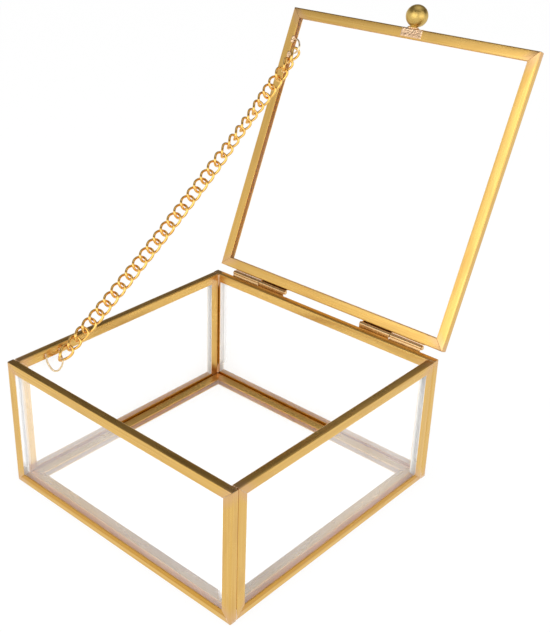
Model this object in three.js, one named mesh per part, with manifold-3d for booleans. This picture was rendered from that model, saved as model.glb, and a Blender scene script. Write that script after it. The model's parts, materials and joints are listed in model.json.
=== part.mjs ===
// Glass jewelry box: clear panes framed in folded brass channel, with a hinged lid and a curb chain that
// stays it open.
// Millimetres, +Z up. The front is -Y, the hinged side is +Y, and the chain is on the -X side.
import * as THREE from 'three'
import { mergeVertices } from 'three/addons/utils/BufferGeometryUtils.js'
import Module from 'manifold-3d'

// ---- Driving dimensions -------------------------------------------------------------------------
const BOX_WIDTH = 150
const BOX_DEPTH = 150
const BASE_HEIGHT = 70.2
const LID_OPEN_DEGREES = 112.7   // from closed, where the chain is taut

const CHANNEL_LEG = 5.2          // how far the channel laps over the glass
const SHEET = 0.5                // brass sheet that the channel is folded from
const GLASS_THICKNESS = 2.6
const GLASS_FACE_GAP = 0.3       // between a pane's face and its channel
const GLASS_EDGE_GAP = 0.3       // between a pane's edge and the bottom of its channel
const SEAM = 0.15                // solder seam between two framed panes
const LID_GAP = 0.45             // between the closed lid and the rim

const HINGE_AXIS_ABOVE = 1.14    // above the rim
const HINGE_LENGTH = 37.6
const HINGE_FROM_SIDE = 11.4     // from the box's side to the hinge's outer end
const PIN_RADIUS = 0.6
const PIN_CLEARANCE = 0.3        // between a pin and its barrels
const PIN_HEAD_LIP = 0.2         // how far a pin's head laps over the end of the barrel
const PIN_HEAD_LENGTH = 0.5
const PIN_HEAD_GAP = 0.2         // between a pin's head and the end of the barrel
const BARREL_WALL = 0.4
const BARREL_GAP = 0.4           // between a hinge's two barrels
const BARREL_STAND_OFF = 0.62    // between a barrel and the box's back face
const FOOT_THICKNESS = 0.7       // tab that joins each barrel to its rail
const FOOT_GAP = 0.1             // solder seam between the tab and the rail
const FOOT_REACH = 3.0           // from the hinge axis to the tab's far edge
const FOOT_INSET = 0.2           // from the hinge axis to the tab's near edge

const KNOB_RADIUS = 5.75
const KNOB_NECK_RADIUS = 2.0
const KNOB_STAND_OFF = 0.95      // between the lid's front face and the ball
const KNOB_OFFSET = 2.5          // to the right of the lid's middle
const KNOB_SEAM = 0.3            // solder seam under the neck

const CHAIN_LINKS = 35
const CHAIN_WIRE = 1.4
const CHAIN_PLAY = 0.5           // between two linked wires
const CHAIN_ROLL_DEGREES = 45    // how far the links' flat side leans from level towards the front
const LINK_WIDTH = 7.8
const LINK_TWIST = 1.2           // how far each side of a curb link rises out of its plane
const CHAIN_SIDE_GAP = 0.08      // between the widest that the chain could be and the left wall
const CHAIN_SAG = 3.85           // at mid-span, with the lid open
const CHAIN_LEAN = 5.0           // how much further in the chain's lid end hangs than its base end
const LOWER_LINKS = 17           // links that hang from the base eye; the rest hang from the lid eye
const LINK_END_GAP = 1.0         // between those two lengths of chain
const BASE_LINK_REACH = 1.85     // from the base eye's wire to the end of the link that holds it
const LID_LINK_REACH = 3.15      // the same at the lid eye

const EYE_WIRE = 1.0
const EYE_WIDTH = 8.6            // between an eye's two soldered ends
const EYE_SEAM = 0.3
const EYE_GLASS_GAP = 0.35       // from the lid's inner face to the middle of the wire's ends
const BASE_EYE_FROM_FRONT = 27.2 // from the front face to where the chain pulls on the base eye
const BASE_EYE_DROP = 5.3        // from the rim to the same point
const BASE_EYE_DEPTH = 5.9       // from there down to the bottom of the eye
const LID_EYE_FROM_FRONT = 24.7  // from the lid's front face to where the chain pulls on the lid eye
const LID_EYE_DROP = 4.4         // from the lid's inner face to the same point

// ---- Materials ----------------------------------------------------------------------------------
const metal = (color, roughness) => new THREE.MeshStandardMaterial({ color, roughness, metalness: 1 })
const channelBrass = metal(0xe3bc6c, 0.3)
const hingeBrass = metal(0xd2a24a, 0.25)
const knobBrass = metal(0xd9a441, 0.15)
const chainBrass = metal(0xdf9f35, 0.2)
const clearGlass = new THREE.MeshStandardMaterial({
  color: 0xf4fbf8, roughness: 0.03, metalness: 0, transparent: true, opacity: 0.25,
})

// ---- Solid helpers ------------------------------------------------------------------------------
const wasm = await Module()
wasm.setup()

function toSolid(geometry) {
  const bare = geometry.clone()
  bare.deleteAttribute('normal')
  bare.deleteAttribute('uv')
  const merged = mergeVertices(bare, 1e-4)
  return new wasm.Manifold(new wasm.Mesh({
    numProp: 3,
    vertProperties: new Float32Array(merged.attributes.position.array),
    triVerts: new Uint32Array(merged.index.array),
  }))
}

function toGeometry(solid) {
  const mesh = solid.getMesh()
  const geometry = new THREE.BufferGeometry()
  geometry.setAttribute('position', new THREE.BufferAttribute(new Float32Array(mesh.vertProperties), 3))
  geometry.setIndex(new THREE.BufferAttribute(new Uint32Array(mesh.triVerts), 1))
  geometry.computeVertexNormals()
  return geometry
}

const join = (...geometries) => toGeometry(
  geometries.slice(1).reduce((solid, next) => solid.add(toSolid(next)), toSolid(geometries[0])))

function addPiece(parent, name, geometry, material) {
  const mesh = new THREE.Mesh(geometry, material)
  mesh.name = name
  parent.add(mesh)
  return mesh
}

// ---- Sizes that follow from those ---------------------------------------------------------------
const channelWidth = GLASS_THICKNESS + 2 * (GLASS_FACE_GAP + SHEET)
const boreRadius = PIN_RADIUS + PIN_CLEARANCE
const barrelRadius = boreRadius + BARREL_WALL
const knobCentreOut = KNOB_RADIUS + KNOB_STAND_OFF
const chainRoll = THREE.MathUtils.degToRad(CHAIN_ROLL_DEGREES)
const chainHalfWidth = (LINK_WIDTH - CHAIN_WIRE) / 2 * Math.cos(chainRoll) + LINK_TWIST * Math.sin(chainRoll)
  + CHAIN_WIRE / 2

// ---- Framed panes -------------------------------------------------------------------------------
// A frame lies in its own XY plane, centred, with its thickness along Z from 0 to channelWidth.
function rectangle(path, width, height) {
  path.moveTo(-width / 2, -height / 2)
  path.lineTo(width / 2, -height / 2)
  path.lineTo(width / 2, height / 2)
  path.lineTo(-width / 2, height / 2)
  path.closePath()
  return path
}

function rimPlate(width, height, rim, thickness, z) {
  const shape = rectangle(new THREE.Shape(), width, height)
  shape.holes.push(rectangle(new THREE.Path(), width - 2 * rim, height - 2 * rim))
  return new THREE.ExtrudeGeometry(shape, { depth: thickness, bevelEnabled: false }).translate(0, 0, z)
}

const channelFrame = (width, height) => join(
  rimPlate(width, height, SHEET, channelWidth, 0),
  rimPlate(width, height, CHANNEL_LEG, SHEET, 0),
  rimPlate(width, height, CHANNEL_LEG, SHEET, channelWidth - SHEET))

const glassPane = (width, height) => new THREE.BoxGeometry(
  width - 2 * (SHEET + GLASS_EDGE_GAP), height - 2 * (SHEET + GLASS_EDGE_GAP), GLASS_THICKNESS,
).translate(0, 0, channelWidth / 2)

function addFramedPane(parent, name, width, height) {
  const holder = new THREE.Group()
  addPiece(holder, `${name}_frame`, channelFrame(width, height), channelBrass)
  addPiece(holder, `${name}_glass`, glassPane(width, height), clearGlass)
  parent.add(holder)
  return holder
}

// The walls stand on the ground around the floor's frame. The front and back run the full width, and the
// sides fit between them.
const wallMiddle = BASE_HEIGHT / 2
const sideLength = BOX_DEPTH - 2 * (channelWidth + SEAM)
const floorWidth = BOX_WIDTH - 2 * (channelWidth + SEAM)

function addBase(parent) {
  addFramedPane(parent, 'floor', floorWidth, sideLength)
  const front = addFramedPane(parent, 'front', BOX_WIDTH, BASE_HEIGHT)
  front.rotation.x = Math.PI / 2
  front.position.set(0, -BOX_DEPTH / 2 + channelWidth, wallMiddle)
  const back = addFramedPane(parent, 'back', BOX_WIDTH, BASE_HEIGHT)
  back.rotation.x = Math.PI / 2
  back.position.set(0, BOX_DEPTH / 2, wallMiddle)
  for (const [name, side] of [['left', -1], ['right', 1]]) {
    const wall = addFramedPane(parent, name, BASE_HEIGHT, sideLength)
    wall.rotation.y = Math.PI / 2
    wall.position.set(side * (BOX_WIDTH / 2 - channelWidth / 2) - channelWidth / 2, 0, wallMiddle)
  }
}

// ---- Lid ----------------------------------------------------------------------------------------
// The lid's group has its origin on the hinge axis, and the lid is closed when the group isn't turned.
const hingeY = BOX_DEPTH / 2 + BARREL_STAND_OFF + barrelRadius
const hingeZ = BASE_HEIGHT + HINGE_AXIS_ABOVE
const lidInnerZ = BASE_HEIGHT + LID_GAP - hingeZ
const lidFrontY = -BOX_DEPTH / 2 - hingeY
const lidGroup = new THREE.Group()
lidGroup.position.set(0, hingeY, hingeZ)
lidGroup.rotation.x = -THREE.MathUtils.degToRad(LID_OPEN_DEGREES)

function addLid(lid) {
  const pane = addFramedPane(lid, 'lid', BOX_WIDTH, BOX_DEPTH)
  pane.position.set(0, -hingeY, lidInnerZ)
}

function addKnob(lid) {
  const neckTop = knobCentreOut - Math.sqrt(KNOB_RADIUS ** 2 - KNOB_NECK_RADIUS ** 2)
  const profile = [new THREE.Vector2(0, KNOB_SEAM), new THREE.Vector2(KNOB_NECK_RADIUS, KNOB_SEAM)]
  const steps = 14
  const start = Math.atan2(KNOB_NECK_RADIUS, knobCentreOut - neckTop)
  for (let i = 0; i <= steps; i += 1) {
    const angle = start + (Math.PI - start) * i / steps
    const radius = i === steps ? 0 : KNOB_RADIUS * Math.sin(angle)
    profile.push(new THREE.Vector2(radius, knobCentreOut - KNOB_RADIUS * Math.cos(angle)))
  }
  const knob = addPiece(lid, 'lid_knob', new THREE.LatheGeometry(profile, 28), knobBrass)
  knob.rotation.x = Math.PI
  knob.position.set(KNOB_OFFSET, lidFrontY, lidInnerZ + channelWidth / 2)
}

// ---- Hinges -------------------------------------------------------------------------------------
// Each hinge is two barrels on one pin: the outer barrel on the base's back rail and the inner one on the
// lid's.
const barrelLength = (HINGE_LENGTH - BARREL_GAP) / 2

function barrel(footY, footLowZ, footHighZ) {
  const section = new THREE.Shape().absarc(0, 0, barrelRadius, 0, 2 * Math.PI)
  section.holes.push(new THREE.Path().absarc(0, 0, boreRadius, 0, 2 * Math.PI, true))
  const tube = new THREE.ExtrudeGeometry(section, {
    depth: barrelLength, bevelEnabled: false, curveSegments: 20,
  })
  tube.translate(0, 0, -barrelLength / 2).rotateY(Math.PI / 2)
  const foot = new THREE.BoxGeometry(barrelLength, FOOT_THICKNESS, footHighZ - footLowZ)
  foot.translate(0, footY + FOOT_THICKNESS / 2, (footLowZ + footHighZ) / 2)
  return join(tube, foot)
}

function hingePin() {
  const half = HINGE_LENGTH / 2 + PIN_HEAD_GAP
  const headRadius = boreRadius + PIN_HEAD_LIP
  const profile = [
    [0, -half - PIN_HEAD_LENGTH], [headRadius, -half - PIN_HEAD_LENGTH], [headRadius, -half],
    [PIN_RADIUS, -half], [PIN_RADIUS, half],
    [headRadius, half], [headRadius, half + PIN_HEAD_LENGTH], [0, half + PIN_HEAD_LENGTH],
  ].map(([radius, along]) => new THREE.Vector2(radius, along))
  return new THREE.LatheGeometry(profile, 16).rotateZ(-Math.PI / 2)
}

function addHinges(base, lid) {
  const footY = BOX_DEPTH / 2 + FOOT_GAP - hingeY
  for (const [name, side] of [['left', -1], ['right', 1]]) {
    const outerEnd = BOX_WIDTH / 2 - HINGE_FROM_SIDE
    const outerX = side * (outerEnd - barrelLength / 2)
    const innerX = side * (outerEnd - HINGE_LENGTH + barrelLength / 2)
    const baseBarrel = addPiece(
      base, `${name}_hinge_base_barrel`, barrel(footY, -FOOT_REACH, -FOOT_INSET), hingeBrass)
    baseBarrel.position.set(outerX, hingeY, hingeZ)
    const pin = addPiece(base, `${name}_hinge_pin`, hingePin(), hingeBrass)
    pin.position.set(side * (outerEnd - HINGE_LENGTH / 2), hingeY, hingeZ)
    const lidBarrel = addPiece(
      lid, `${name}_hinge_lid_barrel`, barrel(footY, FOOT_INSET, FOOT_REACH), hingeBrass)
    lidBarrel.position.x = innerX
  }
}

// ---- Chain eyes ---------------------------------------------------------------------------------
// Each eye is a wire staple. It meets its rail at both ends, and the chain pulls on one point of it.
const wallInnerX = -BOX_WIDTH / 2 + channelWidth
const basePull = new THREE.Vector3(
  wallInnerX + CHAIN_SIDE_GAP + chainHalfWidth,
  -BOX_DEPTH / 2 + BASE_EYE_FROM_FRONT,
  BASE_HEIGHT - BASE_EYE_DROP)
const lidPull = new THREE.Vector3(
  basePull.x + CHAIN_LEAN, lidFrontY + LID_EYE_FROM_FRONT, lidInnerZ - LID_EYE_DROP)

function bentWire(points) {
  const section = new THREE.Shape().absarc(0, 0, EYE_WIRE / 2, 0, 2 * Math.PI)
  const path = new THREE.CatmullRomCurve3(points, false, 'centripetal')
  return new THREE.ExtrudeGeometry(section, {
    steps: 32, curveSegments: 8, extrudePath: path, bevelEnabled: false,
  })
}

// The base eye hangs under the left wall's top rail, with both ends on the rail's inner face.
function addBaseEye(base) {
  const faceX = wallInnerX + EYE_SEAM + EYE_WIRE / 2
  const { x, y, z } = basePull
  const bottom = z - BASE_EYE_DEPTH
  const backEnd = y + 1.4
  const frontEnd = backEnd - EYE_WIDTH
  addPiece(base, 'base_chain_eye', bentWire([
    new THREE.Vector3(faceX, backEnd, z + 1.9),
    new THREE.Vector3(faceX + 0.5, y + 0.7, z + 0.9),
    new THREE.Vector3(x, y, z),
    new THREE.Vector3(x + 1.7, y - 0.9, z - 1.4),
    new THREE.Vector3(x + 1.6, y - 1.6, z - 3.6),
    new THREE.Vector3(x + 0.9, y - 3.2, bottom),
    new THREE.Vector3(x - 0.4, y - 5.2, bottom + 0.9),
    new THREE.Vector3(faceX + 0.5, frontEnd + 0.4, z - 1.8),
    new THREE.Vector3(faceX, frontEnd, z + 0.4),
    new THREE.Vector3(faceX, frontEnd, z + 1.9),
  ]), chainBrass)
}

// The lid eye lies under the lid's left rail, with both ends at the edge of the rail's inner leg.
function addLidEye(lid) {
  const edgeX = -BOX_WIDTH / 2 + CHANNEL_LEG + EYE_SEAM
  const edgeZ = lidInnerZ - EYE_GLASS_GAP
  const { x, y, z } = lidPull
  const backEnd = y + 1.2
  const frontEnd = backEnd - EYE_WIDTH
  addPiece(lid, 'lid_chain_eye', bentWire([
    new THREE.Vector3(edgeX, backEnd, edgeZ),
    new THREE.Vector3(edgeX + 2.6, backEnd - 0.3, edgeZ - 1.1),
    new THREE.Vector3(x, y, z),
    new THREE.Vector3(x + 1.9, y - 0.8, z - 0.6),
    new THREE.Vector3(x + 1.9, y - 2.7, z - 0.6),
    new THREE.Vector3(x, y - 4.7, z + 0.4),
    new THREE.Vector3(edgeX + 3.4, frontEnd + 0.6, edgeZ - 1.3),
    new THREE.Vector3(edgeX, frontEnd, edgeZ),
  ]), chainBrass)
}

// ---- Chain --------------------------------------------------------------------------------------
// With the lid open the links lie on a shallow arc between the two eyes. The pitch follows from that span.
const lidPullOpen = lidPull.clone().applyEuler(lidGroup.rotation).add(lidGroup.position)
const span = lidPullOpen.clone().sub(basePull)
const spanDirection = span.clone().normalize()
const chainAcross = new THREE.Vector3(1, 0, 0).projectOnPlane(spanDirection).normalize()
const arcRadius = (span.length() ** 2 / 4 + CHAIN_SAG ** 2) / (2 * CHAIN_SAG)
const arcHalfAngle = Math.asin(span.length() / 2 / arcRadius)
const linkTurn = 2 * arcHalfAngle / CHAIN_LINKS
const pitch = 2 * arcRadius * Math.sin(linkTurn / 2)

// A link's own X is its wide direction and its own Y runs along the chain. Its two ends can reach
// differently far.
class CurbLinkCurve extends THREE.Curve {
  constructor(backReach, frontReach) {
    super()
    this.backReach = backReach
    this.frontReach = frontReach
  }

  getPoint(t, target = new THREE.Vector3()) {
    const turn = 2 * Math.PI * t
    return target.set(
      (LINK_WIDTH - CHAIN_WIRE) / 2 * Math.cos(turn),
      (this.frontReach - this.backReach) / 2 + (this.frontReach + this.backReach) / 2 * Math.sin(turn),
      LINK_TWIST * Math.sin(2 * turn))
  }
}

const linkGeometry = (backReach, frontReach) => new THREE.TubeGeometry(
  new CurbLinkCurve(backReach, frontReach), 18, CHAIN_WIRE / 2, 6, true)

// The chain is two lengths that end beside each other, one on each eye, so the lid can close.
function linkEnds(number) {
  const linked = pitch / 2 + (CHAIN_WIRE + CHAIN_PLAY) / 2
  const loose = pitch / 2 - (CHAIN_WIRE + LINK_END_GAP) / 2
  let back = linked
  let front = linked
  if (number === 1) back = pitch / 2 + BASE_LINK_REACH
  if (number === CHAIN_LINKS) front = pitch / 2 + LID_LINK_REACH
  if (number === LOWER_LINKS) front = loose
  if (number === LOWER_LINKS + 1) back = loose
  return [back, front]
}

function addChain(parent) {
  const pivot = basePull.clone()
  for (let number = 1; number <= CHAIN_LINKS; number += 1) {
    const climb = -arcHalfAngle + (number - 0.5) * linkTurn
    const along = spanDirection.clone().applyAxisAngle(chainAcross, climb)
    const wide = chainAcross.clone().applyAxisAngle(along, chainRoll)
    const thick = wide.clone().cross(along)
    const name = `chain_link_${String(number).padStart(2, '0')}`
    const link = addPiece(parent, name, linkGeometry(...linkEnds(number)), chainBrass)
    link.quaternion.setFromRotationMatrix(new THREE.Matrix4().makeBasis(wide, along, thick))
    link.position.copy(pivot).addScaledVector(along, pitch / 2)
    pivot.addScaledVector(along, pitch)
  }
}

// ---- Assembly -----------------------------------------------------------------------------------
// The origin is under the middle of everything, lid open, on the plane that the box stands on.
const jewelryBox = new THREE.Group()
addBase(jewelryBox)
addHinges(jewelryBox, lidGroup)
addBaseEye(jewelryBox)
addLid(lidGroup)
addKnob(lidGroup)
addLidEye(lidGroup)
jewelryBox.add(lidGroup)
addChain(jewelryBox)
jewelryBox.updateMatrixWorld(true)
const outline = new THREE.Box3().setFromObject(jewelryBox, true)
const middle = outline.getCenter(new THREE.Vector3())
jewelryBox.position.set(-middle.x, -middle.y, -outline.min.z)

export default jewelryBox
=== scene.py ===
import json
import math
import random

import bmesh
import bpy
from mathutils import Matrix, Quaternion, Vector

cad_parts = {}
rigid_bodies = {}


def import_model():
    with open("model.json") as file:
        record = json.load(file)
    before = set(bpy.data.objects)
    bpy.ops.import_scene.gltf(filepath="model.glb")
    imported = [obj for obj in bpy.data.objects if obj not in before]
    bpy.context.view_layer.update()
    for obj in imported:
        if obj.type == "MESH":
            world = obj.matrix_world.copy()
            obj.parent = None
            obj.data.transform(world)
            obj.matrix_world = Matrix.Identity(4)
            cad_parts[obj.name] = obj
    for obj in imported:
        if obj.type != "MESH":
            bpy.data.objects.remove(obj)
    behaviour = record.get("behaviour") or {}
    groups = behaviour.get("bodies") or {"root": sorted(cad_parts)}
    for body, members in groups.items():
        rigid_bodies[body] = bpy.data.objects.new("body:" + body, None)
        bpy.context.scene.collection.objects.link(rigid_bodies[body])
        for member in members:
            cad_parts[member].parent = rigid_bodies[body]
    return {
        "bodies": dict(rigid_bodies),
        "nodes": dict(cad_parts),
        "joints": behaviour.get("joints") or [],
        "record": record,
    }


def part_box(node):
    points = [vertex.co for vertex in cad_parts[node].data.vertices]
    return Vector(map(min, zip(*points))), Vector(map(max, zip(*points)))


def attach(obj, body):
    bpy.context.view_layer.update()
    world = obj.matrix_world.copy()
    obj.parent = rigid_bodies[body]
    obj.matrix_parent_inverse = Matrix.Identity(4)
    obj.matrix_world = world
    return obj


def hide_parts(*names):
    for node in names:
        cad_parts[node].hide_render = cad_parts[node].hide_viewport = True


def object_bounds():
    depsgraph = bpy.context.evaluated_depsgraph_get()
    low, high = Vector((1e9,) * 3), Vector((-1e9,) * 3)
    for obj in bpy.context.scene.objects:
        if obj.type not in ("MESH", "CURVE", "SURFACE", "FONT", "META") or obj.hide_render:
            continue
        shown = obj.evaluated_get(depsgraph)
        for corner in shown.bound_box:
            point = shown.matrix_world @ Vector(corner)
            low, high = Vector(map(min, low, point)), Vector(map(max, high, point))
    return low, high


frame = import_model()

# A clear-glass jewelry box in folded brass channel, its lid held open by a curb chain.
# Metres, +Z up, front at -Y.
CAD_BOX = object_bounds()
MM = 0.001

# ---- Sizes of the channel -----------------------------------------------------------------------
CHANNEL_LEG = 5.2 * MM         # how far the channel laps over the glass
SHEET = 0.5 * MM
EDGE_SHEET = 0.8 * SHEET       # thickness at the legs' edges
FOLD_RADIUS = 0.62 * MM        # outside of each fold in the channel
LEG_PINCH = 0.22 * MM          # how far the legs' edges lean in towards the glass
MITRE_GAP = 0.05 * MM
RAIL_WAVE = 0.02 * MM          # unevenness of the folded sheet
WAVE_STRENGTH = 4.0            # the noise is faint, so it is multiplied
CALM_CORNER = 12 * MM          # the wave grows over this length from a mitre
CHANNEL_BEVEL = 0.07 * MM
CHANNEL_BEVEL_ANGLE = 50       # degrees past which an edge is rounded
FRAME_SEED_STEP = 17.3         # keeps the frames' patterns apart
SIDE_SEED_STEP = 3.7           # keeps the four sides' patterns apart

# ---- Sizes of the hinges ------------------------------------------------------------------------
LID_GAP = 0.45 * MM            # between the closed lid and the rim
BARREL_RADIUS = 1.3 * MM
BARREL_SHEET = 0.4 * MM
PIN_RADIUS = 0.6 * MM
PIN_HEAD_LENGTH = 0.5 * MM
PIN_HEAD_FACE = 0.7            # radius of a head's flat end, as a share of the head's
PIN_HEAD_CHAMFER = 0.4         # length of its slope, as a share of the head's
LEAF_REACH = 3.0 * MM          # from the hinge axis to the leaf's far edge
LEAF_FROM_RAIL = 0.15 * MM
LEAF_INSET = 0.2 * MM          # from the hinge axis to a leaf's near edge
LEAF_BEND_START = 1.9 * MM     # from the hinge axis to where the leaf leaves its rail
LEAF_BEND_MIDDLE = 1.3 * MM
LEAF_BEVEL = 0.06 * MM
LEAF_BEVEL_ANGLE = 40

# ---- Sizes of the knob --------------------------------------------------------------------------
KNOB_RADIUS = 5.75 * MM
KNOB_NECK = 2.0 * MM
KNOB_OUT = 6.7 * MM            # from the lid's front face to the middle of the ball
KNOB_OFFSET = 2.5 * MM         # to the right of the lid's middle
KNOB_FLARE = ((1.5, 0.3 * MM), (1.2, 0.65 * MM), (1.02, 1.1 * MM))   # (share of the neck's radius, along)
KNOB_RINGS = 40

# ---- Sizes of the chain and its eyes ------------------------------------------------------------
CHAIN_LINKS = 35
CHAIN_WIRE = 1.4 * MM
LINK_WIDTH = 7.8 * MM
LINK_TWIST = 1.2 * MM          # how far each side of a curb link rises out of its plane
LINK_PLAY = 0.5 * MM           # between two linked wires
LINK_CORNERS = 40              # round a link
WIRE_CORNERS = 12              # round a link's wire
BASE_LINK_REACH = 1.85 * MM    # from the base eye's wire to the end of the link that holds it
LID_LINK_REACH = 2.3 * MM      # the same at the lid eye
CHAIN_SAG = 3.85 * MM
CHAIN_LEAN = 5.0 * MM          # how much further in the lid end hangs
CHAIN_SIDE_GAP = 0.08 * MM     # between the widest that the chain could be and the left wall
CHAIN_ROLL = 45                # degrees that a link leans from level towards the front
UPPER_ROLL = 48                # more lean, in the chain's upper third
LID_END_ROLL = 62              # the same at the lid eye
BASE_END_ROLL = 35             # the same at the base eye
EYE_WIRE = 1.0 * MM
EYE_CORNERS = 14               # round an eye's wire
EYE_STEPS = 8                  # along each span of its curve
EYE_SEAM = 0.3 * MM            # solder between an eye's foot and the channel
EYE_GLASS_GAP = 0.35 * MM      # from the lid's inner face to the middle of the wire's ends
BASE_EYE_FROM_FRONT = 27.2 * MM
BASE_EYE_DROP = 5.3 * MM       # from the rim
BASE_EYE_DEPTH = 5.9 * MM      # from the chain's pull down to the bottom of the eye
LID_EYE_FROM_FRONT = 24.7 * MM
LID_EYE_DROP = 4.4 * MM        # from the lid's inner face

# ---- Sizes of the solder ------------------------------------------------------------------------
SOLDER_VOXEL = 0.16 * MM
SOLDER_GRAIN = 700.0
SOLDER_UNEVENNESS = 0.25 * MM
BALL_SPACING = 0.45 * MM
BALL_WANDER = 0.08 * MM        # how far a ball strays from its line
CORNER_SEAM = 0.1 * MM         # between two walls' channels
KNOB_FILLET = 2.6 * MM         # radius of the ring of solder round the neck
KNOB_FILLET_BALLS = 12
KNOB_FILLET_FLATNESS = 0.62    # the ring's height as a share of its width
SMEAR_WIDTH = 12 * MM
SMEAR_ROWS = 11
SMEAR_ROW_STEP = 0.4 * MM
SMEAR_BALL = 0.34 * MM
SMEAR_UNEVENNESS = 0.05 * MM

# ---- Colours ------------------------------------------------------------------------------------
BRASS_LIGHT = (0.81, 0.53, 0.17)
BRASS_DEEP = (0.70, 0.41, 0.10)
BRASS_TARNISH = (0.58, 0.34, 0.10)
BRASS_HEATED = (0.72, 0.44, 0.22)
# Painted shade: a deeper orange on the upper half of the bottom rails' legs, where they meet the glass.
BRASS_FOOT_PAINTED_SHADE = (0.58, 0.29, 0.03)
# Painted light: the channel's inner faces, which lie in shade, are painted this brighter gold.
BRASS_INSIDE_PAINTED_LIGHT = (0.95, 0.60, 0.14)
POST_PAINTED_HIGHLIGHT = (0.98, 0.96, 0.92)     # painted highlight: white in the posts' channels for the bright band at the panes' edges
GLASS_IOR = 1.04               # low, so that the panes mirror only where they are seen edge-on

# ---- Light and camera ---------------------------------------------------------------------------
# What metal mirrors above the horizon: (height, brightness, warmth, where 1 is neutral).
CEILING = ((0.10, 0.82, 1.0), (0.34, 0.74, 1.0), (0.42, 0.12, 0.82), (0.75, 0.08, 0.82), (0.92, 0.5, 1.0))
HORIZON = (0.95, 0.95, 0.95, 1)
ZENITH = (0.9, 0.9, 0.9, 1)
FRONT_LIFT = 0.2               # the white horizon reaches higher towards the front
FLOOR_DROP = 0.15 * MM
FLOOR_SHOWN = 0.9              # share of plain white in what the eye sees of the floor

CAMERA_AZIMUTH = math.radians(43.47)
CAMERA_ELEVATION = math.radians(26.92)
CAMERA_ROLL = math.radians(0.42)
CAMERA_DISTANCE = 0.7139
CAMERA_TARGET = Vector((-0.1395, 0.1062, 0))
CAMERA_LENS = 58.64
CAMERA_SENSOR = 36
CAMERA_SHIFT = (0.093, -0.0176)

# ---- Places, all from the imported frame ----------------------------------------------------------
walls_low, walls_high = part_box("front_frame")[0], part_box("back_frame")[1]
rim_z = walls_high.z
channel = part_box("front_frame")[1].y - walls_low.y
middle_y = (walls_low.y + walls_high.y) / 2
half = (walls_high.x - walls_low.x) / 2
lid_joint = next(joint for joint in frame["joints"] if joint["name"] == "lid_hinge")
hinge = Vector(lid_joint["pos_m"])
open_angle = math.radians(lid_joint["range_deg"][1])
lid_inner_z = rim_z + LID_GAP
bodies = frame["record"]["behaviour"]["bodies"]
body_of_node = {name: body for body, names in bodies.items() for name in names}

# Takes a point of the closed lid to where it is with the lid open.
OPENED = Matrix.Translation(hinge) @ Matrix.Rotation(-open_angle, 4, "X") @ Matrix.Translation(-hinge)

# Where the chain pulls on its two eyes, the lid's as it is with the lid closed.
flat_roll = math.radians(CHAIN_ROLL)
chain_half_width = (
    (LINK_WIDTH - CHAIN_WIRE) / 2 * math.cos(flat_roll) + LINK_TWIST * math.sin(flat_roll) + CHAIN_WIRE / 2)
base_pull = Vector((-half + channel + CHAIN_SIDE_GAP + chain_half_width,
                    walls_low.y + BASE_EYE_FROM_FRONT, rim_z - BASE_EYE_DROP))
lid_pull = Vector((base_pull.x + CHAIN_LEAN, walls_low.y + LID_EYE_FROM_FRONT, lid_inner_z - LID_EYE_DROP))


# ---- Mesh and node helpers ----------------------------------------------------------------------
def basis(across, up, out, origin):
    """The matrix that turns X, Y and Z to these three directions."""
    matrix = Matrix((across, up, out)).transposed().to_4x4()
    matrix.translation = origin
    return matrix


def add_object(name, data):
    made = bpy.data.objects.new(name, data)
    bpy.context.scene.collection.objects.link(made)
    return made


def keep_in_box(mesh):
    """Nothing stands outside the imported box: solder is filed flush, and the rails lie flat on the ground."""
    for vertex in mesh.vertices:
        vertex.co = [min(max(value, low), high) for value, low, high in zip(vertex.co, *CAD_BOX)]


def finish_piece(piece, material, body, nodes=()):
    """Gives a piece its material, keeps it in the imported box, and hands it to its body."""
    keep_in_box(piece.data)
    piece.data.materials.clear()
    piece.data.materials.append(material)
    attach(piece, body)
    if nodes:
        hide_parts(*nodes)


def add_bevel(piece, width, angle):
    bevel = piece.modifiers.new("Soft edges", "BEVEL")
    bevel.width = width
    bevel.segments = 2
    bevel.limit_method = "ANGLE"
    bevel.angle_limit = math.radians(angle)
    bevel.harden_normals = True


def shell_object(name, shell, place, smooth=True):
    """An object from a closed bmesh, with its faces outwards and its place in its mesh."""
    bmesh.ops.recalc_face_normals(shell, faces=shell.faces)
    for face in shell.faces:
        face.smooth = smooth
    data = bpy.data.meshes.new(name)
    shell.to_mesh(data)
    shell.free()
    data.transform(place)
    return add_object(name, data)


def node(tree, kind, settings=None, **inputs):
    """Adds a node. Inputs are given by name with _ for a space, or as s0, s1 ... by number."""
    made = tree.nodes.new(kind)
    for key, value in (settings or {}).items():
        setattr(made, key, value)
    for key, value in inputs.items():
        if key[0] == "s" and key[1:].isdigit():
            socket = made.inputs[int(key[1:])]
        else:
            socket = made.inputs[key.replace("_", " ")]
        if isinstance(value, bpy.types.NodeSocket):
            tree.links.new(value, socket)
        else:
            socket.default_value = value
    return made


def maths(tree, operation, first, second=0.0, third=0.0):
    return node(tree, "ShaderNodeMath", {"operation": operation}, s0=first, s1=second, s2=third).outputs[0]


def vector(tree, x=0.0, y=0.0, z=0.0):
    return node(tree, "ShaderNodeCombineXYZ", None, X=x, Y=y, Z=z).outputs[0]


def ripple(tree, place, scale, reach):
    """A push that changes direction from place to place, as a vector of up to about half of reach."""
    cloud = node(tree, "ShaderNodeTexNoise", {"noise_dimensions": "3D"}, Vector=place,
                 Scale=scale, Detail=2.0)
    swing = node(tree, "ShaderNodeVectorMath", {"operation": "SUBTRACT"},
                 s0=cloud.outputs["Color"], s1=(0.5, 0.5, 0.5))
    return node(tree, "ShaderNodeVectorMath", {"operation": "SCALE"},
                s0=swing.outputs[0], Scale=reach).outputs[0]


def circle(tree, radius, corners):
    return node(tree, "GeometryNodeCurvePrimitiveCircle", {"mode": "RADIUS"},
                Resolution=corners, Radius=radius).outputs[0]


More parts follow.
